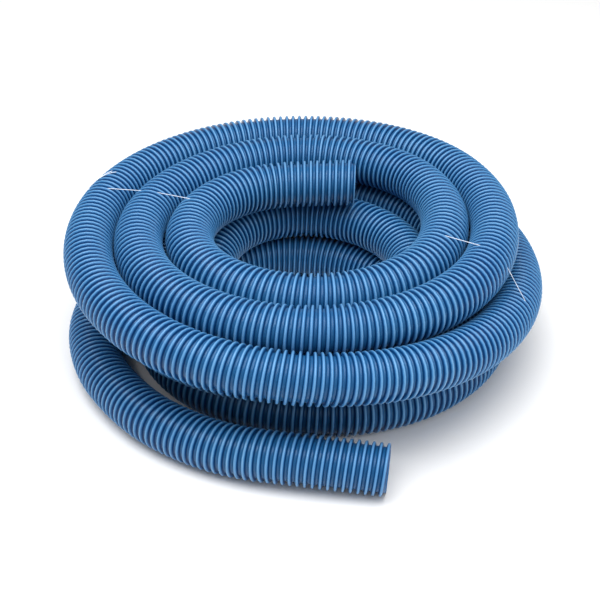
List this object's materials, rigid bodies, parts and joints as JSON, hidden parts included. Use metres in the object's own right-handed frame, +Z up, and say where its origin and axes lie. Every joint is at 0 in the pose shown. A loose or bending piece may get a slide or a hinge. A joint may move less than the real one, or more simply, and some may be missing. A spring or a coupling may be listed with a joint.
{
  "type": "vacuum hose",
  "caption": "Spiral-ribbed plastic hose for a pool or spa vacuum, tied into a layered coil, with its open outer end pulled out along the front.",
  "frame": {"origin": "on the floor, under the middle of the whole object's box", "axes": "+Z up; the uncoiled outer end lies along the front, on the -Y side, with its mouth facing +X"},
  "size_m": [0.4575, 0.4916, 0.1435],
  "materials": {
    "hose": "blue semi-gloss polyethylene, ribs lighter than the web between them",
    "string": "thin clear plastic string"
  },
  "bodies": {
    "root": {"hose_top_layer": "hose", "hose_middle_layer": "hose", "hose_floor_layer": "hose", "hose_loose_run": "hose", "hose_inner_end": "hose", "hose_front_end": "hose", "left_string": "string", "right_string": "string"}
  },
  "joints": []
}
